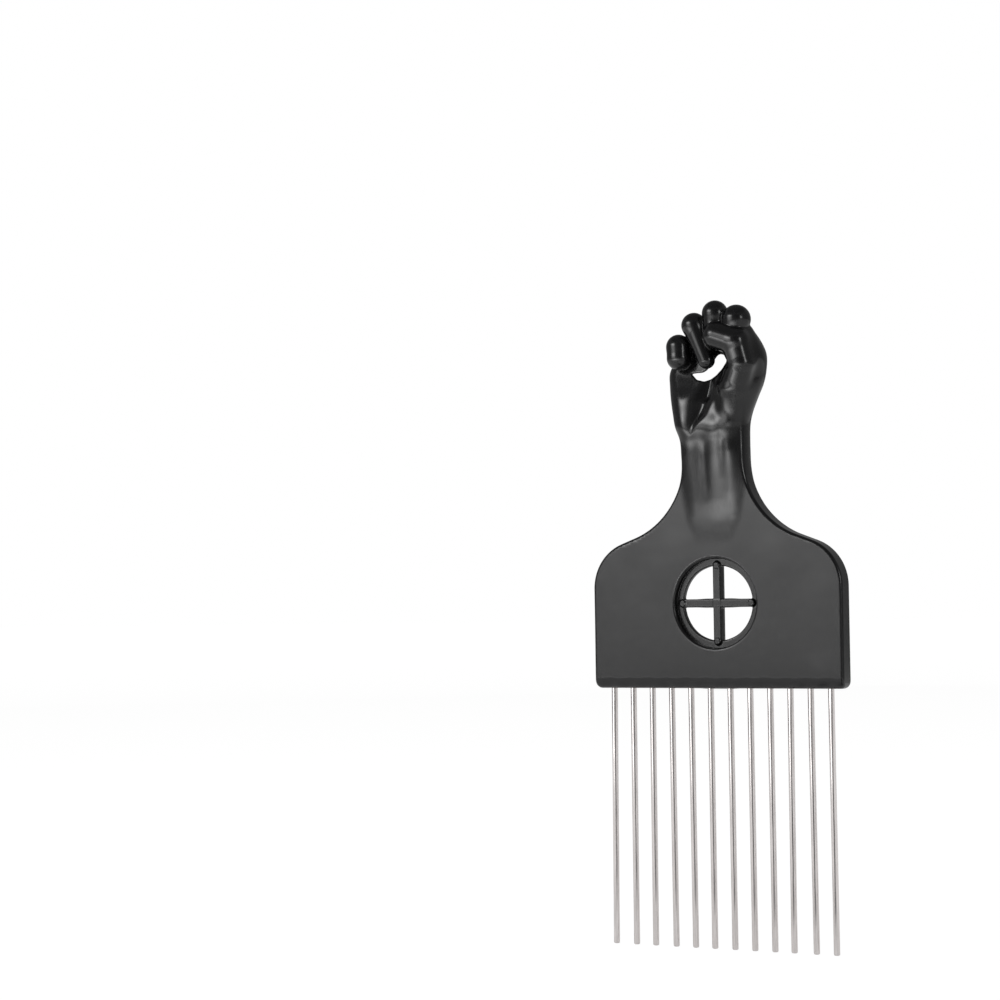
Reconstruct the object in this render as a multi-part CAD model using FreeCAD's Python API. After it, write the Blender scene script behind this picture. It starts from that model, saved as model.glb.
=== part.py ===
import FreeCAD, Part
import math
import os

# Afro pick with a sculpted fist handle: one plastic moulding that holds a row of steel wire tines.
# Millimetres. +Z runs from the tines to the fist, the palm side faces -Y, and the origin is the
# middle of the neck, where a hand or a clip holds the pick.

# Plate that carries the tines
PLATE_WIDTH = 80.0
PLATE_THICKNESS = 6.0
SIDE_HEIGHT = 29.4
SHOULDER_RADIUS = 14.0
SHOULDER_ANGLE = math.radians(20.0)
SLOPE_LENGTH = 4.8
NECK_WIDTH = 19.9
PLATE_CORNER_RADIUS = 1.5
PLATE_EDGE_ROUND = 0.9
LOWER_BEVEL_HEIGHT = 1.9
LOWER_BEVEL_DEPTH = 1.3

# Steel tines, moulded into the lower edge of the plate
TINE_COUNT = 12
TINE_DIAMETER = 1.8
TINE_LENGTH = 75.6
TINE_END_MARGIN = 5.1
TINE_TIP_ROUND = 0.45
ROOT_DEPTH = 8.5
ANCHOR_LENGTH = 3.6
ANCHOR_WIDTH = 2.6
ANCHOR_THICKNESS = 1.1
MOULDING_FIT = 0.02
TINE_LEAN_DEGREES = (-0.5, -0.2, -0.2, 0.1, 0.1, 0.0, 0.1, 0.1, 0.1, -0.15, 0.3, 0.2)
TINE_LEAN_ANGLES = [math.radians(lean) for lean in TINE_LEAN_DEGREES]

# Round window with its cross, in the middle of the plate
RIM_RADIUS = 13.1
RIM_ROUND = 0.4
LEDGE_WIDTH = 2.05
LEDGE_THICKNESS = 1.7
ROOT_COVER = 3.2
BAR_WIDTH = 2.4
BAR_DEPTH = 3.1
BAR_LAP = 1.2

# Fist and wrist
HAND_WIDTH = 30.0
HAND_DEPTH = 16.0
HAND_HEIGHT = 45.4
FINGER_THICKNESS = 7.0
PALM_PAD_THICKNESS = 11.0
PALM_HOLLOW_WIDTH = 6.4
TENDON_GROOVE_WIDTH = 1.6

# Gap under the curled fingers, which runs through the fist and slants to the little finger: the
# x and z of its inner and outer arc, each by start, middle and end, at the depth of the fingertips
GAP_SLANT_ANGLE = math.radians(26.0)
GAP_DEPTH_SHARE = -0.375
GAP_INNER_SHARES = [(-0.313, 0.555), (-0.015, 0.544), (0.147, 0.623)]
GAP_OUTER_SHARES = [(-0.407, 0.518), (0.050, 0.498), (0.293, 0.621)]

# How far a cutter runs past the face that it cuts
OVERRUN = 2.0

# How closely the pads, the fingers and the palm are joined
JOIN_TOLERANCE = 0.0001

# Wrist and palm sections: height, sideways offset, half width, forward offset and half depth
PALM_SECTION_SHARES = [
    (-0.44, 0.00, 0.36, 0.00, 0.25),
    (-0.27, 0.00, 0.48, -0.03, 0.40),
    (0.00, -0.02, 0.66, -0.06, 0.52),
    (0.20, -0.07, 0.77, -0.04, 0.63),
    (0.33, -0.06, 0.87, 0.07, 0.66),
    (0.46, -0.04, 0.98, 0.21, 0.68),
    (0.57, -0.02, 1.00, 0.27, 0.67),
    (0.67, 0.05, 0.90, 0.29, 0.65),
    (0.80, 0.10, 0.62, 0.31, 0.52),
]

# Each finger runs from its knuckle over the bend to its tip: x, y, z and thickness
FINGER_SHARES = {
    "index": [(0.39, 0.43, 0.789, 1.00), (0.553, -0.31, 0.870, 1.17), (0.51, -0.36, 0.71, 0.97)],
    "middle": [(0.04, 0.50, 0.819, 1.00), (0.116, -0.38, 0.921, 1.03), (0.113, -0.43, 0.72, 0.94)],
    "ring": [(-0.387, 0.45, 0.758, 0.97), (-0.34, -0.40, 0.848, 1.03), (-0.16, -0.44, 0.63, 0.77)],
    "little": [(-0.707, 0.33, 0.648, 0.91), (-0.693, -0.36, 0.72, 0.96), (-0.56, -0.40, 0.618, 0.98)],
}

# The thumb rises from its pad, bends and lies across the index and middle fingers
THUMB_SHARES = [
    (0.467, -0.30, 0.419, 1.31),
    (0.680, -0.49, 0.590, 1.00),
    (0.587, -0.63, 0.731, 1.17),
    (0.200, -0.70, 0.775, 1.11),
]

# Pads of the palm, each from its lower to its upper end: x, y, z and thickness
PALM_PAD_SHARES = {
    "thumb": [(0.327, -0.03, 0.216, 0.89), (0.567, -0.09, 0.449, 1.05)],
    "little": [(-0.56, -0.11, 0.209, 0.78), (-0.70, 0.02, 0.463, 0.81)],
    "index": [(0.60, -0.10, 0.771, 0.69), (0.707, 0.03, 0.639, 0.80)],
}

# Hollow between the pads of the palm, from the wrist up to the fingertips: x, y, z and width
PALM_HOLLOW_SHARES = [
    (-0.32, -0.76, 0.21, 0.45),
    (-0.09, -0.57, 0.43, 1.00),
    (0.01, -0.57, 0.58, 0.94),
]

# Tendon grooves down the front of the wrist, from the palm to where they run out
TENDON_GROOVE_SHARES = [
    ((-0.12, -0.64, 0.075), (-0.113, -0.52, -0.167)),
    ((0.41, -0.50, 0.10), (0.38, -0.47, -0.06)),
]

PLATE_HALF = PLATE_WIDTH / 2
NECK_HALF = NECK_WIDTH / 2
FRONT_Y = -PLATE_THICKNESS / 2
TINE_RADIUS = TINE_DIAMETER / 2
TINE_PITCH = (PLATE_WIDTH - 2 * TINE_END_MARGIN) / (TINE_COUNT - 1)
OPENING_RADIUS = RIM_RADIUS - LEDGE_WIDTH

# The neck is narrowest where the flank arc starts, at z = 0, and the slope joins flank and shoulder.
SLOPE_NORMAL = FreeCAD.Vector(math.sin(SHOULDER_ANGLE), 0, math.cos(SHOULDER_ANGLE))
SLOPE_DOWN = FreeCAD.Vector(math.cos(SHOULDER_ANGLE), 0, -math.sin(SHOULDER_ANGLE))
ARCS_SPAN = PLATE_HALF - NECK_HALF - SLOPE_LENGTH * SLOPE_DOWN.x
FLANK_RADIUS = ARCS_SPAN / (1 - SLOPE_NORMAL.x) - SHOULDER_RADIUS
FLANK_CENTRE = FreeCAD.Vector(NECK_HALF + FLANK_RADIUS, 0, 0)
FLANK_END = FLANK_CENTRE - SLOPE_NORMAL * FLANK_RADIUS
SHOULDER_START = FLANK_END + SLOPE_DOWN * SLOPE_LENGTH
SHOULDER_CENTRE = SHOULDER_START - SLOPE_NORMAL * SHOULDER_RADIUS
EDGE_Z = SHOULDER_CENTRE.z - SIDE_HEIGHT
WINDOW_Z = EDGE_Z + ROOT_DEPTH + ROOT_COVER + RIM_RADIUS


def arc_middle(centre, first, last):
    """Point halfway along the short arc from first to last."""
    outward = (first - centre).normalize() + (last - centre).normalize()
    return centre + outward.normalize() * (first - centre).Length


def mirrored(point):
    return FreeCAD.Vector(-point.x, point.y, point.z)


def side_edges(turn):
    """One side of the plate's outline, from the middle of its lower edge to the top of the neck."""
    corner = PLATE_CORNER_RADIUS
    corner_centre = FreeCAD.Vector(PLATE_HALF - corner, 0, EDGE_Z + corner)
    low_middle = FreeCAD.Vector(0, 0, EDGE_Z)
    corner_low = FreeCAD.Vector(corner_centre.x, 0, EDGE_Z)
    corner_side = FreeCAD.Vector(PLATE_HALF, 0, corner_centre.z)
    shoulder_end = FreeCAD.Vector(PLATE_HALF, 0, SHOULDER_CENTRE.z)
    neck_low = FreeCAD.Vector(NECK_HALF, 0, 0)
    neck_top = FreeCAD.Vector(NECK_HALF, 0, HAND_HEIGHT * PALM_SECTION_SHARES[3][0])

    def line(first, last):
        return Part.makeLine(turn(first), turn(last))

    def arc(centre, first, last):
        return Part.Arc(turn(first), turn(arc_middle(centre, first, last)), turn(last)).toShape()

    return [
        line(low_middle, corner_low),
        arc(corner_centre, corner_low, corner_side),
        line(corner_side, shoulder_end),
        arc(SHOULDER_CENTRE, shoulder_end, SHOULDER_START),
        line(SHOULDER_START, FLANK_END),
        arc(FLANK_CENTRE, FLANK_END, neck_low),
        line(neck_low, neck_top),
        line(neck_top, FreeCAD.Vector(0, 0, neck_top.z)),
    ]


def plate():
    """Flat plate with drawn-in flanks, rounded along every outer edge."""
    edges = side_edges(lambda point: point) + side_edges(mirrored)
    outline = Part.Wire(Part.__sortEdges__(edges))
    slab = Part.Face(outline).extrude(FreeCAD.Vector(0, PLATE_THICKNESS, 0))
    slab.translate(FreeCAD.Vector(0, FRONT_Y, 0))
    slab = slab.removeSplitter()
    rims = [edge for edge in slab.Edges if edge.BoundBox.YLength < PLATE_EDGE_ROUND]
    slab = slab.makeFillet(PLATE_EDGE_ROUND, rims)
    return slab.cut(lower_bevel(1)).cut(lower_bevel(-1))


def lower_bevel(side):
    """Wedge that bevels the plate's lower edge on one face."""
    rise = LOWER_BEVEL_HEIGHT / LOWER_BEVEL_DEPTH
    out = side * (-FRONT_Y + OVERRUN)
    inner = side * (-FRONT_Y - LOWER_BEVEL_DEPTH - OVERRUN)
    top = EDGE_Z + LOWER_BEVEL_HEIGHT + OVERRUN * rise
    low = EDGE_Z - OVERRUN * rise
    corners = [FreeCAD.Vector(-PLATE_WIDTH, y, z) for y, z in ((out, top), (inner, low), (out, low))]
    return Part.Face(Part.makePolygon(corners + corners[:1])).extrude(FreeCAD.Vector(2 * PLATE_WIDTH, 0, 0))


def window_disc(radius, depth, start_y):
    centre = FreeCAD.Vector(0, start_y, WINDOW_Z)
    return Part.makeCylinder(radius, depth, centre, FreeCAD.Vector(0, 1, 0))


def pierced(slab):
    """The plate with the window: a rim on each face, a thin ledge between, and the opening."""
    recess = (PLATE_THICKNESS - LEDGE_THICKNESS) / 2
    front = window_disc(RIM_RADIUS, recess + OVERRUN, FRONT_Y - OVERRUN)
    back = window_disc(RIM_RADIUS, recess + OVERRUN, -FRONT_Y - recess)
    opening = window_disc(OPENING_RADIUS, PLATE_THICKNESS + 2 * OVERRUN, FRONT_Y - OVERRUN)
    slab = slab.cut(front).cut(back).cut(opening)
    rims = [edge for edge in slab.Edges if is_rim(edge)]
    return slab.makeFillet(RIM_ROUND, rims)


def is_rim(edge):
    """True for the circles where the window meets the plate's two faces."""
    if not isinstance(edge.Curve, Part.Circle):
        return False
    on_face = abs(abs(edge.Curve.Center.y) + FRONT_Y) < RIM_ROUND / 2
    return on_face and abs(edge.Curve.Radius - RIM_RADIUS) < RIM_ROUND / 2


def cross_bar(angle):
    """One bar of the cross: a flat bar with round ends that lap onto the ledge."""
    half = BAR_WIDTH / 2
    reach = OPENING_RADIUS + BAR_LAP - half
    places = ((-reach, half), (reach, half), (reach, -half), (-reach, -half))
    corners = [FreeCAD.Vector(x, 0, z) for x, z in places]
    right_end = FreeCAD.Vector(reach + half, 0, 0)
    left_end = FreeCAD.Vector(-reach - half, 0, 0)
    edges = [
        Part.makeLine(corners[0], corners[1]),
        Part.Arc(corners[1], right_end, corners[2]).toShape(),
        Part.makeLine(corners[2], corners[3]),
        Part.Arc(corners[3], left_end, corners[0]).toShape(),
    ]
    bar = Part.Face(Part.Wire(edges)).extrude(FreeCAD.Vector(0, BAR_DEPTH, 0))
    bar.translate(FreeCAD.Vector(0, -BAR_DEPTH / 2, 0))
    bar.rotate(FreeCAD.Vector(), FreeCAD.Vector(0, 1, 0), angle)
    bar.translate(FreeCAD.Vector(0, 0, WINDOW_Z))
    return bar


def hand_point(shares):
    x_share, y_share, z_share = shares[:3]
    return FreeCAD.Vector(x_share * HAND_WIDTH / 2, y_share * HAND_DEPTH / 2, z_share * HAND_HEIGHT)


def phalanx(start, start_radius, end, end_radius):
    """Tapered bone with ball ends: a profile of two arcs and their tangent, turned about its axis."""
    length = (end - start).Length
    tilt = math.asin((start_radius - end_radius) / length)
    lean = FreeCAD.Vector(math.sin(tilt), math.cos(tilt), 0)
    back = FreeCAD.Vector(-start_radius, 0, 0)
    nose = FreeCAD.Vector(length + end_radius, 0, 0)
    end_centre = FreeCAD.Vector(length, 0, 0)
    first = lean * start_radius
    last = end_centre + lean * end_radius
    edges = [
        Part.Arc(back, arc_middle(FreeCAD.Vector(), back, first), first).toShape(),
        Part.makeLine(first, last),
        Part.Arc(last, arc_middle(end_centre, last, nose), nose).toShape(),
        Part.makeLine(nose, back),
    ]
    bone = Part.Face(Part.Wire(edges)).revolve(FreeCAD.Vector(), FreeCAD.Vector(1, 0, 0), 360)
    bone.Placement = FreeCAD.Placement(start, FreeCAD.Rotation(FreeCAD.Vector(1, 0, 0), end - start))
    return bone


def limb(joints, thickness):
    """Bones from joint to joint. Each bone starts a little slimmer than the last one ends."""
    slimmer_share = 0.98
    bones = []
    for first, last in zip(joints, joints[1:]):
        start_radius = slimmer_share * first[3] * thickness / 2
        bones.append(phalanx(hand_point(first), start_radius, hand_point(last), last[3] * thickness / 2))
    return bones


def palm():
    """Wrist and palm as one loft through ellipses, which start on the side away from the thumb."""
    rings = []
    for height_share, side_share, width_share, forward_share, depth_share in PALM_SECTION_SHARES:
        centre = hand_point((side_share, forward_share, height_share))
        half_width = width_share * HAND_WIDTH / 2
        half_depth = depth_share * HAND_DEPTH / 2
        ellipse = Part.Ellipse(FreeCAD.Vector(), half_width, half_depth).toShape()
        ring = Part.Wire(ellipse)
        ring.rotate(FreeCAD.Vector(), FreeCAD.Vector(0, 0, 1), math.degrees(math.pi))
        ring.translate(centre)
        rings.append(ring)
    return Part.makeLoft(rings, True, False)


def finger_gap():
    """Crescent cutter that follows the curled fingertips."""
    inner = [hand_point((x_share, GAP_DEPTH_SHARE, z_share)) for x_share, z_share in GAP_INNER_SHARES]
    outer = [hand_point((x_share, GAP_DEPTH_SHARE, z_share)) for x_share, z_share in GAP_OUTER_SHARES]
    edges = [
        Part.Arc(*inner).toShape(),
        Part.makeLine(inner[-1], outer[-1]),
        Part.Arc(*outer[::-1]).toShape(),
        Part.makeLine(outer[0], inner[0]),
    ]
    reach = FreeCAD.Vector(-math.tan(GAP_SLANT_ANGLE), 1, 0) * HAND_DEPTH
    cutter = Part.Face(Part.Wire(edges)).extrude(reach * 2)
    cutter.translate(-reach)
    return cutter


def tendon_grooves():
    radius = TENDON_GROOVE_WIDTH / 2
    return [phalanx(hand_point(top), radius, hand_point(low), radius) for top, low in TENDON_GROOVE_SHARES]


def fist():
    """Right fist seen from its palm side, with the thumb across the index and middle fingers."""
    bones = limb(THUMB_SHARES, FINGER_THICKNESS)
    for joints in FINGER_SHARES.values():
        bones += limb(joints, FINGER_THICKNESS)
    pads = []
    for joints in PALM_PAD_SHARES.values():
        pads += limb(joints, PALM_PAD_THICKNESS)
    hollow = limb(PALM_HOLLOW_SHARES, PALM_HOLLOW_WIDTH)
    padded_palm = palm().multiFuse(pads, JOIN_TOLERANCE)
    hollowed_palm = padded_palm.cut(hollow, JOIN_TOLERANCE).cut(finger_gap())
    return hollowed_palm.multiFuse(bones, JOIN_TOLERANCE)


def tine_x(index):
    return (index - (TINE_COUNT - 1) / 2) * TINE_PITCH


def tine(index, growth=0.0):
    """Straight wire with a rounded tip and a flattened root. growth widens it to cut its own seat."""
    radius = TINE_RADIUS + growth
    low = FreeCAD.Vector(0, 0, -TINE_LENGTH)
    up = FreeCAD.Vector(0, 0, 1)
    wire = Part.makeCylinder(radius, TINE_LENGTH + ROOT_DEPTH - ANCHOR_LENGTH / 2, low, up)
    tip = [edge for edge in wire.Edges if edge.BoundBox.ZMax < -TINE_LENGTH + TINE_RADIUS]
    wire = wire.makeFillet(TINE_TIP_ROUND, tip)
    width = ANCHOR_WIDTH + 2 * growth
    thickness = ANCHOR_THICKNESS + 2 * growth
    corner = FreeCAD.Vector(-width / 2, -thickness / 2, ROOT_DEPTH - ANCHOR_LENGTH - growth)
    anchor = Part.makeBox(width, thickness, ANCHOR_LENGTH + 2 * growth, corner)
    whole = wire.fuse(anchor).removeSplitter()
    whole.rotate(FreeCAD.Vector(), FreeCAD.Vector(0, 1, 0), -math.degrees(TINE_LEAN_ANGLES[index]))
    whole.translate(FreeCAD.Vector(tine_x(index), 0, EDGE_Z))
    return whole


def handle():
    """The whole moulding: plate, window, cross, wrist and fist in one piece of plastic."""
    body = pierced(plate()).multiFuse([cross_bar(0), cross_bar(90)])
    body = body.fuse(fist())
    body = body.cut(Part.makeCompound(tendon_grooves()))
    seats = [tine(index, MOULDING_FIT) for index in range(TINE_COUNT)]
    return body.cut(Part.makeCompound(seats)).removeSplitter()


os.makedirs("parts", exist_ok=True)
handle().exportStep("parts/handle.step")
for number in range(TINE_COUNT):
    tine(number).exportStep(f"parts/tine_{number + 1:02d}.step")
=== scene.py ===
import math
import bpy
import numpy as np
import openvdb
from mathutils import Matrix, Vector


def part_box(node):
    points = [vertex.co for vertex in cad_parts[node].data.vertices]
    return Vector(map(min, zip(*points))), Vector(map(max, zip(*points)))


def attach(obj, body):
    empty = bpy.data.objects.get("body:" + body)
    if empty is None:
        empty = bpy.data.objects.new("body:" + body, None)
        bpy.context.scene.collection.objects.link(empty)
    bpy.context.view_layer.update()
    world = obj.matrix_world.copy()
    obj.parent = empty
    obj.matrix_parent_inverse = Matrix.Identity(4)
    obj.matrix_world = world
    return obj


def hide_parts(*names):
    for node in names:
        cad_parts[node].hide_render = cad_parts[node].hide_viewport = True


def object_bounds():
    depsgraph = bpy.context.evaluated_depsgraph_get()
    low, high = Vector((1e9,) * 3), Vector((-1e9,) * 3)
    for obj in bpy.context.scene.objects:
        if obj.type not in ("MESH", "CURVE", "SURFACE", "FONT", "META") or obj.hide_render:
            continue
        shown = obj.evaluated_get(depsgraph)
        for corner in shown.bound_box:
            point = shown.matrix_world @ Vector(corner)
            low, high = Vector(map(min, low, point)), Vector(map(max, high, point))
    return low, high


# Afro pick with a fist handle. The handle is sculpted as one distance field, in millimetres, and meshed
# once, so that plate, window, wrist and fist flow into each other as one moulding. The tines are wires.

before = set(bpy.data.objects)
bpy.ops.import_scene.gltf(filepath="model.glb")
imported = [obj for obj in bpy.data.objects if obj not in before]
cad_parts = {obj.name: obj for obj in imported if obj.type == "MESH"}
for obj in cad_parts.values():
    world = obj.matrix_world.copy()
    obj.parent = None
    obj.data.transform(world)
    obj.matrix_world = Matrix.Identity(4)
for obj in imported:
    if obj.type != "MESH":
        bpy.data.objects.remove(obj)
cad_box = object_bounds()

MM = 0.001

# Plate, in millimetres
HANDLE_LOW, HANDLE_HIGH = (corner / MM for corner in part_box("handle"))
PLATE_HALF = HANDLE_HIGH.x
EDGE_Z = HANDLE_LOW.z
PLATE_HALF_THICKNESS = 3.0
SIDE_HEIGHT = 29.4
SHOULDER_RADIUS = 14.0
SHOULDER_ANGLE = math.radians(20.0)
NECK_HALF = 9.7
NECK_TOP_Z = 16.0
CORNER_RADIUS = 1.5
CORNER_STEPS = 8
SHOULDER_STEPS = 24
FLANK_STEPS = 40
EDGE_ROUND = 0.9

# Bevels along the plate's lower edge, and the slight wave of that edge from tine to tine
LOWER_BEVEL_HEIGHT = 1.9
LOWER_BEVEL_DEPTH = 1.3
LOWER_BEVEL_BLEND = 0.8
EDGE_WAVE = 0.14

# Soft sink marks on the plate's faces: a broad wave and a slanted one, in radians per millimetre
SINK_DEPTH = 0.03
SINK_BROAD_X = 0.21
SINK_BROAD_Z = 0.17
SINK_BROAD_START_X = 1.0
SINK_BROAD_START_Z = 0.4
SINK_SLANT_X = 0.37
SINK_SLANT_Z = 0.11
SINK_SLANT_SHARE = 0.6

# Window and cross
RIM_RADIUS = 13.1
RIM_ROUND = 0.4
OPENING_RADIUS = 11.05
WINDOW_Z = EDGE_Z + 24.8
LEDGE_HALF_THICKNESS = 0.85
BAR_HALF_WIDTH = 1.2
BAR_HALF_DEPTH = 1.55
BAR_ROUND = 0.3
BAR_LAP = 1.2
BAR_REACH = OPENING_RADIUS + BAR_LAP - BAR_HALF_WIDTH
CROSS_BLEND = 0.3
PAD_RADIUS = 1.0
PAD_RISE = 0.25
PAD_ROUND = 0.25
PAD_BLEND = 0.15

# Tines
TINE_COUNT = 12
TINE_RADIUS = 0.9
TINE_LENGTH = 75.6
TINE_END_MARGIN = 5.1
TINE_PITCH = 2 * (PLATE_HALF - TINE_END_MARGIN) / (TINE_COUNT - 1)
TINE_TIP_ROUND = 0.45
TINE_TIP_RINGS = 6
TINE_SIDES = 32
TINE_LEAN_DEGREES = (-0.5, -0.2, -0.2, 0.1, 0.1, 0.0, 0.1, 0.1, 0.1, -0.15, 0.3, 0.2)
ROOT_DEPTH = 8.5
ANCHOR_LENGTH = 3.6
ANCHOR_TAPER = 0.8
ANCHOR_HALF_WIDTH = 1.3
ANCHOR_HALF_THICKNESS = 0.55

# Palm and wrist by height: left side, right side, half depth and middle of the depth
PALM_SECTIONS = [
    (-30.0, -4.0, 4.0, -3.2, 0.0),
    (-24.0, -4.6, 4.6, -1.4, 0.0),
    (-18.0, -5.4, 5.4, 0.2, 0.0),
    (-12.0, -6.8, 6.8, 1.65, -0.1),
    (-6.0, -8.5, 8.5, 2.9, -0.25),
    (0.0, -10.0, 9.5, 3.85, -0.4),
    (4.5, -10.8, 9.8, 4.36, -0.4),
    (9.0, -12.6, 10.3, 5.0, -0.3),
    (13.0, -13.6, 11.4, 5.2, 0.4),
    (17.0, -14.5, 12.7, 5.4, 1.2),
    (21.0, -15.3, 14.1, 5.0, 2.2),
    (25.6, -15.6, 14.8, 4.4, 3.0),
    (30.5, -12.6, 14.2, 4.0, 3.4),
    (34.5, -9.4, 12.2, 3.9, 3.0),
    (38.0, -6.0, 9.2, 3.6, 2.5),
]
PALM_TOP_Z = PALM_SECTIONS[-1][0]
PALM_LEAST_ROUND = 0.3
FIST_LOW_Z = PALM_SECTIONS[0][0]

# Fingers from knuckle over the bend to the tip: x, y, z and radius of each joint
FINGERS = {
    "index": [(5.8, 3.4, 35.8, 3.5), (8.3, -2.5, 39.5, 4.1), (8.0, -3.0, 36.6, 3.6)],
    "middle": [(0.6, 3.8, 37.2, 3.5), (1.74, -3.0, 41.6, 3.6), (1.7, -3.4, 34.0, 3.3)],
    "ring": [(-5.8, 3.6, 34.4, 3.4), (-5.0, -3.2, 38.5, 3.5), (-0.8, -3.9, 28.0, 2.5)],
    "little": [(-10.6, 2.6, 29.4, 3.2), (-10.3, -2.9, 32.5, 3.45), (-10.1, -3.1, 29.2, 3.6)],
}
INDEX_SIDE = [(9.0, -0.8, 35.0, 3.8), (10.6, 0.2, 29.0, 4.4)]

# Thumb from the foot of its pad over the knuckles to the tip, and the fold beside it, in the same way
THUMB = [
    (5.4, -1.1, 11.4, 3.7),
    (7.3, -2.3, 19.6, 4.6),
    (10.2, -3.8, 26.6, 3.9),
    (8.8, -4.6, 33.0, 4.2),
    (3.1, -5.2, 35.0, 3.95),
]
THUMB_WEB = [(5.6, -5.2, 27.0, 1.3), (7.2, -5.4, 26.0, 1.2), (8.2, -6.0, 24.8, 0.5)]

# Valley of the palm between its two pads: height, x and y
PALM_VALLEY = [
    (6.0, -6.6, -6.4),
    (9.5, -5.0, -4.7),
    (12.5, -3.3, -3.1),
    (16.5, -1.9, -1.7),
    (21.0, -0.9, -1.0),
    (26.0, 0.0, -1.2),
    (32.0, 0.5, -2.0),
]
VALLEY_LEFT_SLOPE = math.radians(34.0)
VALLEY_RIGHT_SLOPE = math.radians(50.0)

# Gap under the curled fingertips, as seen on the plane of the finger fronts: x, z and half width
FINGER_GAP = [
    (-5.6, 24.15, 0.3),
    (-3.9, 23.45, 0.75),
    (-2.1, 23.25, 1.0),
    (-0.45, 23.8, 1.15),
    (1.0, 24.9, 1.3),
    (2.3, 26.4, 1.5),
    (3.5, 27.9, 1.75),
]
FINGER_GAP_Y = -3.0
FINGER_GAP_SLANT = math.tan(math.radians(26.0))
FINGER_GAP_RISE = 0.087

# Relief on the front of the wrist: x, half width, height, and the z where it fades out below and above
WRIST_RELIEF = [
    (1.6, 3.0, 0.55, -20.0, 14.0),
    (6.2, 2.4, 0.4, -18.0, 9.0),
    (-1.9, 1.3, -0.4, -14.0, 8.0),
    (3.8, 1.1, -0.2, -7.0, 10.0),
    (-6.0, 2.5, -0.35, -14.0, 9.0),
]
RELIEF_FADE = 8.0

# Blend of the wrist into the plate: at the neck, and down where the wrist runs out
NECK_BLEND = 1.6
WRIST_BLEND = 5.0
BLEND_HIGH_Z = 10.0
BLEND_LOW_Z = -18.0

# Blends within the fist
JOINT_BLEND = 0.6
VALLEY_FLOOR_BLEND = 0.8
VALLEY_BLEND = 1.6
INDEX_SIDE_BLEND = 3.0
GAP_JOINT_BLEND = 1.2
GAP_BLEND = 0.5
THUMB_JOINT_BLEND = 0.5
THUMB_BLEND = 1.8
THUMB_WEB_BLEND = 0.8
FINGER_JOINT_BLEND = 0.8
FINGER_BLEND = 0.35

# Grid of the distance field: margins round the handle, and spans by their end and their step
EDGE_MARGIN = 0.6
FIST_MARGIN = 0.9
TOP_MARGIN = 1.2
ACROSS_SPANS = [(15.0, 0.35), (19.0, 0.5), (34.0, 1.2), (37.5, 0.6), (PLATE_HALF + EDGE_MARGIN, 0.36)]
DEPTH_SPANS = [(-3.6, 0.35), (3.6, 0.3), (HANDLE_HIGH.y + FIST_MARGIN, 0.35)]
UP_SPANS = [
    (EDGE_Z + 3.0, 0.36),
    (EDGE_Z + 9.4, 0.9),
    (WINDOW_Z + 15.0, 0.36),
    (-16.0, 0.7),
    (HANDLE_HIGH.z + TOP_MARGIN, 0.35),
]

# Sampling of the distance field
FIELD_REACH = 4.0
LAYERS_AT_ONCE = 24
SLOPE_STEP = 0.02
SETTLING_ROUNDS = 2
MOST_MOVE = 0.15
LEAST_STEEPNESS = 0.1
LEAST_SLOPE = 1e-6
MASK_REACH = 0.8

# Finishes: colours, and roughness with what rubbing, dust and edges add to it
BLACK = (0.005, 0.005, 0.0054, 1)
DUSTY_BLACK = (0.04, 0.039, 0.037, 1)
BLACK_ROUGH = 0.17
RUBBED_ROUGH = 0.05
DUST_ROUGH = 0.15
EDGE_ROUGH = 0.04
DUST_SHOWN = 0.25
EDGE_SHOWN = 0.1
PLASTIC_IOR = 1.5
PLASTIC_BUMP = {"Strength": 0.35, "Distance": 0.0002}
PEEL_SHARE = 0.02
BRIGHT_STEEL = (0.80, 0.76, 0.75, 1)
GREY_STEEL = (0.60, 0.565, 0.555, 1)
STEEL_ROUGH = 0.14
STREAK_ROUGH = 0.1
MOTTLE_ROUGH = 0.06
STREAK_SHOWN = 0.6
MOTTLE_SHOWN = 0.3
STEEL_BUMP = {"Strength": 0.1, "Distance": 0.0001}

# The Mix node's colour sockets and its colour output, by number
MIX_FIRST = 6
MIX_SECOND = 7
MIX_RESULT = 2

# Camera at the photograph's viewing angle, its place given in millimetres
CAMERA_PLACE = Vector((353.47, -725.94, -39.34)) * MM
CAMERA_YAW = math.radians(30.465)
CAMERA_PITCH = math.radians(1.967)
CAMERA_ROLL = math.radians(-0.862)
CAMERA_LENS = 99.35
SENSOR_WIDTH = 36.0

# Studio, in metres. Soft is the share of a card's half width and half height over which it fades out
FLOOR_Z = cad_box[0].z
FLOOR_REACH = 8.0
FLOOR_GREY = (0.8, 0.8, 0.8, 1)
FLOOR_WHITE = 1.08
FLOOR_SEEN = 0.88
FLOOR_MIRRORED = 0.35
WORLD_LIGHT = 0.6
TABLE_Z = FLOOR_Z + 0.002
TABLE_GAP = 0.001
HARD = (0.0, 0.0)
SOFT = (1.0, 1.0)
SQUARE = ((-1, -1), (1, -1), (1, 1), (-1, 1))

# Upright cards: azimuth, distance, width, low edge, high edge, strength and soft
UPRIGHT_CARDS = {
    "front_softbox": (-30, 1.15, 1.12, 0.14, 0.74, 9.0, SOFT),
    "left_glow": (-27, 1.6, 1.7, FLOOR_Z, 0.4, 3.4, SOFT),
    "right_strip": (66, 1.2, 0.4, -0.06, 0.6, 8.0, SOFT),
    "right_flag": (32, 0.42, 0.42, -0.05, 0.4, 0.1, (0.6, 0.6)),
    "tine_flag": (25, 0.152, 0.125, -0.24, -0.062, 0.08, (0.5, 0.3)),
}

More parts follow.
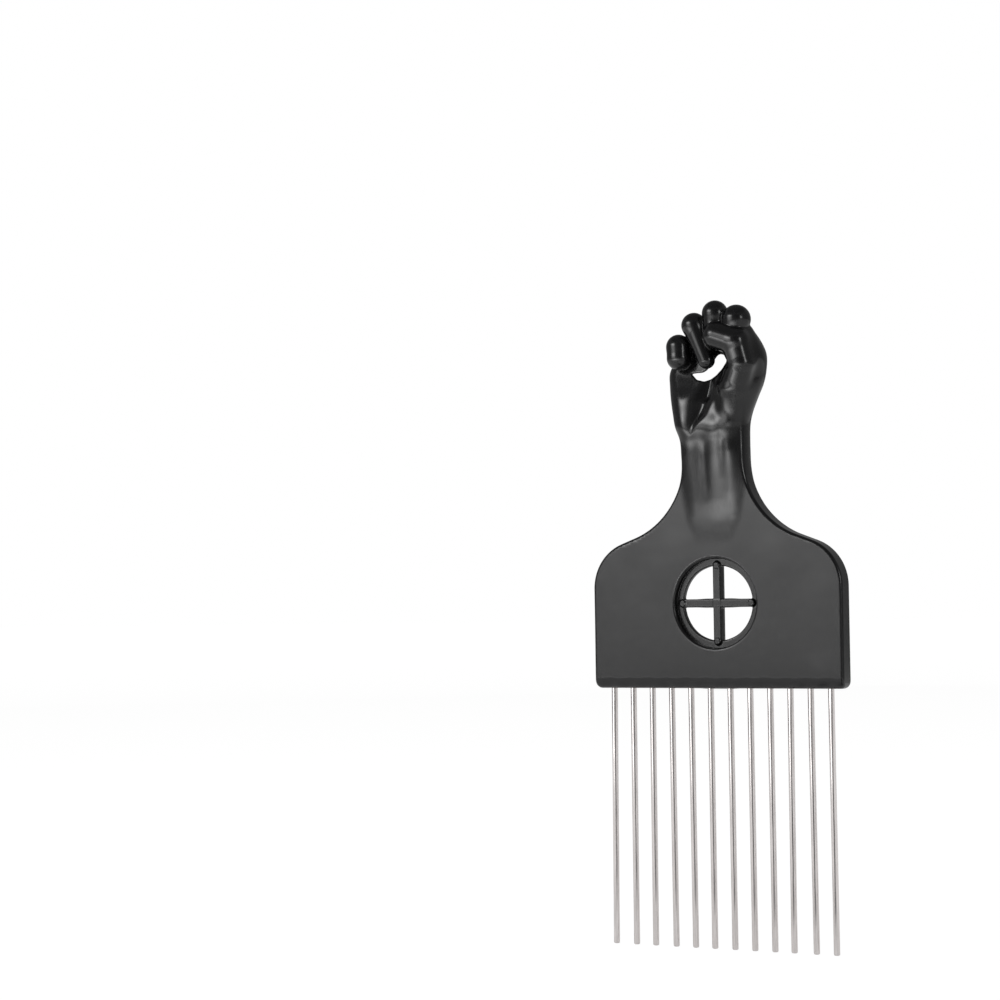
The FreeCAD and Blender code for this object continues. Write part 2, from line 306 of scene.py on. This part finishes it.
# Rings of upright cards, without the azimuth, and the azimuths that they stand at
LOW_SCREEN = (0.165, 0.105, -0.24, -0.062, 0.85, (0.0, 0.3))
LOW_SCREEN_AZIMUTHS = range(-115, 150, 35)
SCREEN = (2.0, 1.8, FLOOR_Z, 2.0, 0.22, HARD)
SCREEN_AZIMUTHS = range(0, 360, 45)

# Level cards: x, y, z, width, depth, strength and soft
LEVEL_CARDS = {
    "lit_table": (-0.25, -0.85, TABLE_Z, 1.3, 1.2, 7.0, SOFT),
    "front_table": (0.165, -0.577, TABLE_Z + TABLE_GAP, 0.4, 0.35, 3.0, SOFT),
    "tip_flag": (0.037, -0.075, TABLE_Z + 2 * TABLE_GAP, 0.1, 0.14, 0.1, (0.8, 0.8)),
    "thumb_glow": (0.041, -0.082, -0.045, 0.08, 0.08, 1.3, (0.8, 0.8)),
    "dark_ceiling": (0, 0, 2.0, 4.6, 4.6, 0.12, HARD),
}
LAMP_SIZE = 1.2
LAMP_WATTS = 6.0
LAMP_PLACE = (-0.1, -0.2, 1.3)


def smooth_union(first, second, blend):
    """Joins two distance fields with a fillet."""
    share = np.clip(0.5 + 0.5 * (second - first) / blend, 0.0, 1.0)
    return second + (first - second) * share - blend * share * (1.0 - share)


def smooth_cut(body, cutter, blend):
    """Takes the cutter out of the body with a rounded edge."""
    return -smooth_union(-body, cutter, blend)


def eased(share):
    """0 up to 0, 1 from 1 on, with a soft run between."""
    share = np.clip(share, 0.0, 1.0)
    return share * share * (3 - 2 * share)


def flowing(stations, values, at):
    """Smooth curve through the values, read at the given heights."""
    stations = np.array(stations)
    values = np.array(values)
    slopes = np.gradient(values, stations)
    place = np.clip(np.searchsorted(stations, at) - 1, 0, len(stations) - 2)
    width = stations[place + 1] - stations[place]
    share = np.clip((at - stations[place]) / width, 0.0, 1.0)
    straight = values[place] + (values[place + 1] - values[place]) * eased(share)
    bend = (1 - share) * slopes[place] - share * slopes[place + 1]
    return straight + share * (1 - share) * width * bend


def bone(x, y, z, start, end):
    """Distance to a tapered bone with ball ends."""
    axis = [last - first for first, last in zip(start, end)]
    length_squared = sum(side * side for side in axis[:3])
    from_start = (x - start[0], y - start[1], z - start[2])
    share = sum(way * side for way, side in zip(from_start, axis)) / length_squared
    share = np.clip(share, 0.0, 1.0)
    off = [way - side * share for way, side in zip(from_start, axis)]
    return np.sqrt(off[0] ** 2 + off[1] ** 2 + off[2] ** 2) - (start[3] + axis[3] * share)


def limb(x, y, z, joints, blend=JOINT_BLEND):
    """Distance to a chain of bones."""
    bones = [bone(x, y, z, start, end) for start, end in zip(joints, joints[1:])]
    whole = bones[0]
    for part in bones[1:]:
        whole = smooth_union(whole, part, blend)
    return whole


def arc_points(centre, radius, first, last, steps):
    """Points along an arc, from its first to its last angle."""
    angles = np.linspace(first, last, steps)
    return [(centre[0] + radius * math.cos(angle), centre[1] + radius * math.sin(angle)) for angle in angles]


def plate_outline():
    """Right half of the outline, from the lower corner over shoulder and flank to the top of the neck."""
    tangent = math.pi / 2 - SHOULDER_ANGLE
    shoulder = (PLATE_HALF - SHOULDER_RADIUS, EDGE_Z + SIDE_HEIGHT)
    corner = (PLATE_HALF - CORNER_RADIUS, EDGE_Z + CORNER_RADIUS)
    slope = math.sin(SHOULDER_ANGLE)
    slope_reach = slope * shoulder[0] + math.cos(SHOULDER_ANGLE) * shoulder[1] + SHOULDER_RADIUS
    flank_radius = (slope * NECK_HALF - slope_reach) / (1.0 - slope)
    flank = (NECK_HALF + flank_radius, 0.0)
    points = arc_points(corner, CORNER_RADIUS, -math.pi / 2, 0.0, CORNER_STEPS)
    points += arc_points(shoulder, SHOULDER_RADIUS, 0.0, tangent, SHOULDER_STEPS)
    points += arc_points(flank, flank_radius, math.pi + tangent, math.pi, FLANK_STEPS)
    points.append((NECK_HALF, NECK_TOP_Z))
    return np.array(points)


OUTLINE = plate_outline()


def outline_distance(x, z):
    """Distance to the plate's outline in its own plane, negative inside."""
    x = np.abs(x)
    nearest = np.full(np.broadcast(x, z).shape, np.inf)
    corners = np.vstack([[0.0, EDGE_Z], OUTLINE, [0.0, NECK_TOP_Z]])
    for first, last in zip(corners, corners[1:]):
        side = last - first
        length_squared = side @ side
        share = ((x - first[0]) * side[0] + (z - first[1]) * side[1]) / length_squared
        share = np.clip(share, 0.0, 1.0)
        gap = (x - first[0] - side[0] * share) ** 2 + (z - first[1] - side[1] * share) ** 2
        nearest = np.minimum(nearest, gap)
    inside = (x < np.interp(z, OUTLINE[:, 1], OUTLINE[:, 0])) & (z > EDGE_Z) & (z < NECK_TOP_Z)
    return np.where(inside, -1.0, 1.0) * np.sqrt(nearest)


def rounded_extrude(flat, across, half_thickness, radius):
    """Distance to a flat shape with thickness, rounded along its edges."""
    side = flat + radius
    face = np.abs(across) - half_thickness + radius
    outer = np.sqrt(np.maximum(side, 0.0) ** 2 + np.maximum(face, 0.0) ** 2)
    return outer + np.minimum(np.maximum(side, face), 0.0) - radius


def sink_marks(x, z):
    """Depth of the soft hollows in the plate's faces."""
    broad = np.sin(x * SINK_BROAD_X + SINK_BROAD_START_X) * np.sin(z * SINK_BROAD_Z + SINK_BROAD_START_Z)
    slant = np.sin(x * SINK_SLANT_X - z * SINK_SLANT_Z)
    return SINK_DEPTH * (1 + broad + SINK_SLANT_SHARE * slant)


def bevel_distance(x, y, z):
    """Distance to what the bevels take off along the wavy lower edge."""
    wave = EDGE_WAVE * (1 + np.cos(2 * math.pi * x / TINE_PITCH + math.pi))
    over_edge = z - EDGE_Z - wave
    inward = (PLATE_HALF_THICKNESS - np.abs(y)) * LOWER_BEVEL_HEIGHT + over_edge * LOWER_BEVEL_DEPTH
    length = math.hypot(LOWER_BEVEL_HEIGHT, LOWER_BEVEL_DEPTH)
    return (inward - LOWER_BEVEL_HEIGHT * LOWER_BEVEL_DEPTH) / length


def plate_distance(x, y, z):
    """The plate with its sink marks, the bevels along its lower edge, and the window with its cross."""
    half_thickness = PLATE_HALF_THICKNESS - sink_marks(x, z)
    slab = rounded_extrude(outline_distance(x, z), y, half_thickness, EDGE_ROUND)
    slab = smooth_cut(slab, bevel_distance(x, y, z), LOWER_BEVEL_BLEND)
    from_middle = np.sqrt(x ** 2 + (z - WINDOW_Z) ** 2)
    recess = np.maximum(from_middle - RIM_RADIUS, LEDGE_HALF_THICKNESS - np.abs(y))
    slab = smooth_cut(slab, recess, 2 * RIM_ROUND)
    slab = smooth_cut(slab, from_middle - OPENING_RADIUS, RIM_ROUND)
    upright = bar_distance(z - WINDOW_Z, x, y)
    level = bar_distance(x, z - WINDOW_Z, y)
    return smooth_union(slab, smooth_union(level, upright, CROSS_BLEND), CROSS_BLEND)


def bar_distance(along, across, y):
    """One flat bar of the cross, with round ends and a raised pad on each end."""
    beyond = np.maximum(np.abs(along) - BAR_REACH, 0.0)
    flat = np.sqrt(beyond ** 2 + across ** 2) - BAR_HALF_WIDTH
    bar = rounded_extrude(flat, y, BAR_HALF_DEPTH, BAR_ROUND)
    flat_pad = np.sqrt((np.abs(along) - BAR_REACH) ** 2 + across ** 2) - PAD_RADIUS
    pad = rounded_extrude(flat_pad, y, BAR_HALF_DEPTH + PAD_RISE, PAD_ROUND)
    return smooth_union(bar, pad, PAD_BLEND)


def palm_distance(x, y, z):
    """Palm, back of the hand and wrist: a slab with round sides, by height."""
    heights, left, right, depth, middle = zip(*PALM_SECTIONS)
    left_side = flowing(heights, left, z)
    right_side = flowing(heights, right, z)
    half_depth = flowing(heights, depth, z)
    flat = np.maximum(np.maximum(left_side - x, x - right_side), z - PALM_TOP_Z)
    side_round = np.maximum(half_depth, PALM_LEAST_ROUND)
    off_middle = y - flowing(heights, middle, z)
    front = eased(-off_middle / PLATE_HALF_THICKNESS)
    return rounded_extrude(flat, off_middle, half_depth, side_round) - front * wrist_relief(x, z)


def wrist_relief(x, z):
    """Height of the tendons and of the grooves between them."""
    height = 0.0
    for middle, half_width, rise, low, high in WRIST_RELIEF:
        along = eased((z - low) / RELIEF_FADE) * eased((high - z) / RELIEF_FADE)
        height = height + rise * np.exp(-((x - middle) / half_width) ** 2) * along
    return height


def valley_distance(x, y, z):
    """Open wedge over the palm: the thumb's pad slopes down to it on the right, the other pad on the left."""
    heights, across, depth = zip(*PALM_VALLEY)
    off_x = x - flowing(heights, across, z)
    off_y = y - flowing(heights, depth, z)
    left = off_y * math.cos(VALLEY_LEFT_SLOPE) - off_x * math.sin(VALLEY_LEFT_SLOPE)
    right = off_y * math.cos(VALLEY_RIGHT_SLOPE) + off_x * math.sin(VALLEY_RIGHT_SLOPE)
    return -smooth_union(-left, -right, VALLEY_FLOOR_BLEND)


def gap_distance(x, y, z):
    """Crescent gap under the fingertips, which runs through the fist on a slant."""
    behind = y - FINGER_GAP_Y
    joints = [(across, 0.0, height, half) for across, height, half in FINGER_GAP]
    return limb(x + behind * FINGER_GAP_SLANT, 0.0, z - behind * FINGER_GAP_RISE, joints, GAP_JOINT_BLEND)


def fist_distance(x, y, z):
    """Right fist from its palm side, with the thumb across the index and middle fingers."""
    hand = palm_distance(x, y, z)
    hand = smooth_cut(hand, valley_distance(x, y, z), VALLEY_BLEND)
    hand = smooth_union(hand, limb(x, y, z, INDEX_SIDE), INDEX_SIDE_BLEND)
    hand = smooth_cut(hand, gap_distance(x, y, z), GAP_BLEND)
    hand = smooth_union(hand, limb(x, y, z, THUMB, THUMB_JOINT_BLEND), THUMB_BLEND)
    hand = smooth_cut(hand, limb(x, y, z, THUMB_WEB), THUMB_WEB_BLEND)
    for joints in FINGERS.values():
        hand = smooth_union(hand, limb(x, y, z, joints, FINGER_JOINT_BLEND), FINGER_BLEND)
    return hand


def handle_distance(x, y, z):
    """Plate and fist as one moulding. Below the wrist there is only the plate."""
    plate = plate_distance(x, y, z)
    if np.max(z) < FIST_LOW_Z:
        return plate
    run_out = eased((BLEND_HIGH_Z - z) / (BLEND_HIGH_Z - BLEND_LOW_Z))
    blend = NECK_BLEND + (WRIST_BLEND - NECK_BLEND) * run_out
    return smooth_union(plate, fist_distance(x, y, z), blend)


def spaced(start, spans):
    """Grid lines from the start over spans, each given by its end and its step."""
    lines = [start]
    for end, step in spans:
        count = max(1, round((end - start) / step))
        lines += list(np.linspace(start, end, count + 1)[1:])
        start = end
    return np.array(lines)


def sampled(distance, xs, ys, zs):
    """The field on a grid, a few layers at a time."""
    field = np.empty((len(xs), len(ys), len(zs)), np.float32)
    for start in range(0, len(zs), LAYERS_AT_ONCE):
        part = slice(start, start + LAYERS_AT_ONCE)
        field[:, :, part] = distance(xs[:, None, None], ys[None, :, None], zs[None, None, part])
    return np.clip(field, -FIELD_REACH, FIELD_REACH)


def value_and_slope(distance, points):
    """The field and its slope at points, from four samples round each."""
    corners = np.array([(1, 1, 1), (1, -1, -1), (-1, 1, -1), (-1, -1, 1)]) * SLOPE_STEP
    samples = [distance(*(points + corner).T) for corner in corners]
    slope = sum(sample[:, None] * corner for sample, corner in zip(samples, corners))
    return sum(samples) / 4, slope / (4 * SLOPE_STEP ** 2)


def settled(distance, points):
    """The points, moved onto the zero level of the field, and the unit normals there."""
    for _ in range(SETTLING_ROUNDS):
        value, slope = value_and_slope(distance, points)
        steepness = np.maximum(np.sum(slope * slope, axis=1), LEAST_STEEPNESS)
        move = -value[:, None] * slope / steepness[:, None]
        points = points + np.clip(move, -MOST_MOVE, MOST_MOVE)
    slope = value_and_slope(distance, points)[1]
    length = np.linalg.norm(slope, axis=1)
    return points, slope / np.maximum(length, LEAST_SLOPE)[:, None]


def placed(name, points, faces):
    """A new object in the scene, from points in metres and faces."""
    mesh = bpy.data.meshes.new(name)
    mesh.from_pydata(points, [], faces)
    mesh.update()
    piece = bpy.data.objects.new(name, mesh)
    bpy.context.collection.objects.link(piece)
    return piece


def sculpted(name, distance, xs, ys, zs):
    """One closed mesh on the zero level of a distance field, with masks for its creases and edges."""
    grid = openvdb.FloatGrid(FIELD_REACH)
    grid.copyFromArray(sampled(distance, xs, ys, zs))
    cells, quads = grid.convertToQuads(0.0)
    columns = [np.interp(cell, np.arange(len(lines)), lines) for cell, lines in zip(cells.T, (xs, ys, zs))]
    points, normals = settled(distance, np.stack(columns, axis=1))
    piece = placed(name, (points * MM).tolist(), quads.tolist())
    piece.data.shade_smooth()
    piece.data.normals_split_custom_set_from_vertices(normals.tolist())
    for mask, side in (("crease", 1), ("edge", -1)):
        near = np.abs(distance(*(points + side * MASK_REACH * normals).T)) / MASK_REACH
        values = np.clip(1 - near, 0.0, 1.0).astype(np.float32)
        piece.data.attributes.new(mask, "FLOAT", "POINT").data.foreach_set("value", values)
    return piece


def handle():
    """The whole black moulding, on a grid that is finest at the fist, the window and the edges."""
    side = spaced(0.0, ACROSS_SPANS)
    xs = np.concatenate([-side[:0:-1], side])
    ys = spaced(HANDLE_LOW.y - FIST_MARGIN, DEPTH_SPANS)
    zs = spaced(EDGE_Z - EDGE_MARGIN, UP_SPANS)
    return sculpted("handle_moulding", handle_distance, xs, ys, zs)


def wire_rings():
    """Rings of a tine from tip to root: height over the plate's edge, half width and half thickness."""
    rings = []
    for angle in np.linspace(0, math.pi / 2, TINE_TIP_RINGS):
        height = TINE_TIP_ROUND * (1 - math.cos(angle)) - TINE_LENGTH
        radius = TINE_RADIUS - TINE_TIP_ROUND * (1 - math.sin(angle))
        rings.append((height, radius, radius))
    neck = ROOT_DEPTH - ANCHOR_LENGTH
    rings.append((neck - ANCHOR_TAPER, TINE_RADIUS, TINE_RADIUS))
    rings.append((neck, ANCHOR_HALF_WIDTH, ANCHOR_HALF_THICKNESS))
    rings.append((ROOT_DEPTH, ANCHOR_HALF_WIDTH, ANCHOR_HALF_THICKNESS))
    return rings


def ring_faces(count):
    """Faces of a closed tube of rings: its sides, and a cap on each end."""
    faces = []
    for low in range(0, (count - 1) * TINE_SIDES, TINE_SIDES):
        high = low + TINE_SIDES
        for side in range(TINE_SIDES):
            after = (side + 1) % TINE_SIDES
            faces.append((low + side, low + after, high + after, high + side))
    faces.append(tuple(reversed(range(TINE_SIDES))))
    faces.append(tuple(range((count - 1) * TINE_SIDES, count * TINE_SIDES)))
    return faces


def tine(index):
    """Turned wire with a rounded tip and a flattened root, at its place and lean in the row."""
    across = (index - (TINE_COUNT - 1) / 2) * TINE_PITCH
    lean = Matrix.Rotation(-math.radians(TINE_LEAN_DEGREES[index]), 4, "Y")
    place = Matrix.Translation((across, 0, EDGE_Z)) @ lean
    rings = wire_rings()
    points = []
    for height, half_width, half_thickness in rings:
        for angle in np.linspace(0, 2 * math.pi, TINE_SIDES, endpoint=False):
            point = Vector((half_width * math.cos(angle), half_thickness * math.sin(angle), height))
            points.append((place @ point) * MM)
    piece = placed(f"tine_wire_{index + 1:02d}", points, ring_faces(len(rings)))
    piece.data.shade_smooth()
    return piece


class Signal:
    """One shader output. Sums on it add Math nodes, and node() adds any other node."""

    def __init__(self, tree, socket=None):
        self.tree = tree
        self.socket = socket

    def node(self, kind, settings=None, inputs=None, output=0):
        """Adds a node: its settings are set first, then its sockets get values or links."""
        made = self.tree.nodes.new(kind)
        for name, value in (settings or {}).items():
            setattr(made, name, value)
        for name, value in (inputs or {}).items():
            if isinstance(value, Signal):
                self.tree.links.new(value.socket, made.inputs[name])
            else:
                made.inputs[name].default_value = value
        return Signal(self.tree, made.outputs[output] if len(made.outputs) else None)

    def maths(self, operation, *others):
        """A Math node on this output and the others."""
        return self.node("ShaderNodeMath", {"operation": operation}, dict(enumerate((self, *others))))

    def __add__(self, other):
        return self.maths("ADD", other)

    def __mul__(self, other):
        return self.maths("MULTIPLY", other)

    def __sub__(self, other):
        return self.maths("SUBTRACT", other)

    def __rsub__(self, other):
        return self.maths("MULTIPLY_ADD", -1.0, other)

    __radd__ = __add__
    __rmul__ = __mul__

    def eased(self, start, end):
        """0 at start, 1 at end, with a soft run between."""
        limits = {"Value": self, "From Min": start, "From Max": end}
        return self.node("ShaderNodeMapRange", {"interpolation_type": "SMOOTHSTEP"}, limits)


def blank(data):
    """An empty node tree on a material or world."""
    data.use_nodes = True
    data.node_tree.nodes.clear()
    return Signal(data.node_tree)


def in_millimetres(tree, stretch=(1, 1, 1)):
    """The object's own coordinates in millimetres, drawn out where the stretch is under 1."""
    place = tree.node("ShaderNodeTexCoord", output="Object")
    scale = tuple(side / MM for side in stretch)
    return tree.node("ShaderNodeMapping", inputs={"Vector": place, "Scale": scale})


def noise(tree, place, per_mm, detail):
    """Noise with the given number of patches per millimetre."""
    return tree.node("ShaderNodeTexNoise", inputs={"Vector": place, "Scale": per_mm, "Detail": detail})


def kept_mask(tree, name):
    """A mask that was kept on the mesh."""
    return tree.node("ShaderNodeAttribute", {"attribute_name": name}, output="Fac")


def colour_between(tree, share, first, second):
    """A colour from the first to the second by a share."""
    sockets = {"Factor": share, MIX_FIRST: first, MIX_SECOND: second}
    return tree.node("ShaderNodeMix", {"data_type": "RGBA"}, sockets, output=MIX_RESULT)


def black_moulded_plastic():
    """Glossy black moulding: soft ripple from the mould, fine peel, rubbed edges and dusty creases."""
    material = bpy.data.materials.new("black_moulded_plastic")
    tree = blank(material)
    place = in_millimetres(tree)
    ripple = noise(tree, place, per_mm=0.11, detail=1.0)
    peel = noise(tree, place, per_mm=1.3, detail=3.0)
    rub = noise(tree, in_millimetres(tree, stretch=(1, 1, 0.12)), per_mm=3.0, detail=4.0)
    edge = kept_mask(tree, "edge")
    dust = kept_mask(tree, "crease") * peel.eased(0.35, 0.7)
    colour = colour_between(tree, dust * DUST_SHOWN + edge * EDGE_SHOWN, BLACK, DUSTY_BLACK)
    rubbed = rub.eased(0.4, 0.75)
    rough = BLACK_ROUGH + rubbed * RUBBED_ROUGH + dust * DUST_ROUGH + edge * EDGE_ROUGH
    bump = tree.node("ShaderNodeBump", inputs={"Height": ripple + peel * PEEL_SHARE, **PLASTIC_BUMP})
    shader = tree.node(
        "ShaderNodeBsdfPrincipled",
        inputs={"Base Color": colour, "Roughness": rough, "Normal": bump, "IOR": PLASTIC_IOR},
    )
    tree.node("ShaderNodeOutputMaterial", inputs={"Surface": shader})
    return material


def drawn_steel_wire():
    """Bright drawn wire: streaks along its length and a soft mottle."""
    material = bpy.data.materials.new("drawn_steel_wire")
    tree = blank(material)
    streak = noise(tree, in_millimetres(tree, stretch=(1, 1, 0.03)), per_mm=4.0, detail=3.0)
    mottle = noise(tree, in_millimetres(tree, stretch=(1, 1, 0.4)), per_mm=0.8, detail=2.0)
    greyed = streak.eased(0.3, 0.7) * STREAK_SHOWN + mottle * MOTTLE_SHOWN
    colour = colour_between(tree, greyed, BRIGHT_STEEL, GREY_STEEL)
    rough = STEEL_ROUGH + streak.eased(0.35, 0.7) * STREAK_ROUGH + mottle * MOTTLE_ROUGH
    bump = tree.node("ShaderNodeBump", inputs={"Height": streak, **STEEL_BUMP})
    shader = tree.node(
        "ShaderNodeBsdfPrincipled",
        inputs={"Base Color": colour, "Metallic": 1.0, "Roughness": rough, "Normal": bump},
    )
    tree.node("ShaderNodeOutputMaterial", inputs={"Surface": shader})
    return material


def camera():
    """The lens at the photograph's place."""
    data = bpy.data.cameras.new("camera")
    data.lens = CAMERA_LENS
    data.sensor_width = SENSOR_WIDTH
    eye = bpy.data.objects.new("camera", data)
    turn = Matrix.Rotation(CAMERA_YAW, 4, "Z") @ Matrix.Rotation(math.pi / 2 + CAMERA_PITCH, 4, "X")
    eye.matrix_world = Matrix.Translation(CAMERA_PLACE) @ turn @ Matrix.Rotation(CAMERA_ROLL, 4, "Z")
    bpy.context.collection.objects.link(eye)
    bpy.context.scene.camera = eye


def sheet(name, half_width, half_height, material):
    """A flat stage piece."""
    corners = [(x * half_width, y * half_height, 0) for x, y in SQUARE]
    piece = placed(name, corners, [tuple(range(len(corners)))])
    piece.data.materials.append(material)
    return piece


def glow(name, half_width, half_height, strength, soft):
    """Light of a studio card, which fades out towards its edges where it is soft."""
    material = bpy.data.materials.new(name)
    tree = blank(material)
    surface = tree.node("ShaderNodeEmission", inputs={"Strength": strength})
    for axis, half in enumerate((half_width, half_height)):
        if soft[axis]:
            place = tree.node("ShaderNodeTexCoord", output="Object")
            along = tree.node("ShaderNodeSeparateXYZ", inputs={"Vector": place}, output=axis)
            faded = along.maths("ABSOLUTE").eased(half * (1 - soft[axis]), half)
            clear = tree.node("ShaderNodeBsdfTransparent")
            surface = tree.node("ShaderNodeMixShader", inputs={0: 1 - faded, 1: clear, 2: surface})
    tree.node("ShaderNodeOutputMaterial", inputs={"Surface": surface})
    return material


def card(name, place, width, height, strength, soft):
    """A studio card that the lens doesn't see, with its middle at the place."""
    half_width = width / 2
    half_height = height / 2
    piece = sheet(name, half_width, half_height, glow(name, half_width, half_height, strength, soft))
    piece.matrix_world = place
    piece.visible_camera = False
    return piece


def standing(name, azimuth, distance, width, low, high, strength, soft):
    """An upright card that faces the pick, from its low to its high edge."""
    turn = math.radians(azimuth)
    middle = Vector((math.sin(turn) * distance, -math.cos(turn) * distance, (low + high) / 2))
    upright = Matrix.Rotation(turn, 4, "Z") @ Matrix.Rotation(math.pi / 2, 4, "X")
    card(name, Matrix.Translation(middle) @ upright, width, high - low, strength, soft)


def lying(name, x, y, z, width, depth, strength, soft):
    """A level card, which lights no matt surface and throws no shadow."""
    piece = card(name, Matrix.Translation((x, y, z)), width, depth, strength, soft)
    piece.visible_diffuse = False
    piece.visible_shadow = False


def overhead_lamp():
    """Plain light from above, which the pick doesn't mirror."""
    data = bpy.data.lights.new("overhead_lamp", "AREA")
    data.size = LAMP_SIZE
    data.energy = LAMP_WATTS
    lamp = bpy.data.objects.new("overhead_lamp", data)
    lamp.location = LAMP_PLACE
    lamp.visible_glossy = False
    bpy.context.collection.objects.link(lamp)


def studio():
    """Cards, screens and lamp round the pick."""
    for name, settings in UPRIGHT_CARDS.items():
        standing(name, *settings)
    for azimuth in LOW_SCREEN_AZIMUTHS:
        standing(f"low_screen_{azimuth}", azimuth, *LOW_SCREEN)
    for azimuth in SCREEN_AZIMUTHS:
        standing(f"screen_{azimuth}", azimuth, *SCREEN)
    for name, settings in LEVEL_CARDS.items():
        lying(name, *settings)
    overhead_lamp()


def rays(tree, kind):
    """1 for rays of a kind, and 0 for all others."""
    return tree.node("ShaderNodeLightPath", output=f"Is {kind} Ray")


def white_floor():
    """Pale floor, white to the lens and in mirrors, which keeps some of the pick's shadow."""
    material = bpy.data.materials.new("white_floor")
    tree = blank(material)
    mirrored = rays(tree, "Glossy") + rays(tree, "Transmission")
    shown = rays(tree, "Camera") * FLOOR_SEEN + mirrored * FLOOR_MIRRORED
    matt = tree.node("ShaderNodeBsdfDiffuse", inputs={"Color": FLOOR_GREY})
    bright = tree.node("ShaderNodeEmission", inputs={"Strength": FLOOR_WHITE})
    mixed = tree.node("ShaderNodeMixShader", inputs={0: shown, 1: matt, 2: bright})
    tree.node("ShaderNodeOutputMaterial", inputs={"Surface": mixed})
    floor = sheet("floor", FLOOR_REACH, FLOOR_REACH, material)
    floor.location.z = FLOOR_Z


def white_world():
    """World that is white to the lens and in mirrors, and lights the pick a little less."""
    world = bpy.data.worlds.new("studio")
    bpy.context.scene.world = world
    tree = blank(world)
    shown = rays(tree, "Camera")
    for kind in ("Glossy", "Transmission"):
        shown = shown.maths("MAXIMUM", rays(tree, kind))
    strength = WORLD_LIGHT + shown * (1 - WORLD_LIGHT)
    light = tree.node("ShaderNodeBackground", inputs={"Color": (1, 1, 1, 1), "Strength": strength})
    tree.node("ShaderNodeOutputWorld", inputs={"Surface": light})


black = black_moulded_plastic()
steel = drawn_steel_wire()

moulding = handle()
moulding.data.materials.append(black)
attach(moulding, "root")
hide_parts("handle")
for index in range(TINE_COUNT):
    wire = tine(index)
    wire.data.materials.append(steel)
    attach(wire, "root")
    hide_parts(f"tine_{index + 1:02d}")

camera()
studio()
white_floor()
white_world()
bpy.context.scene.view_settings.view_transform = "Standard"
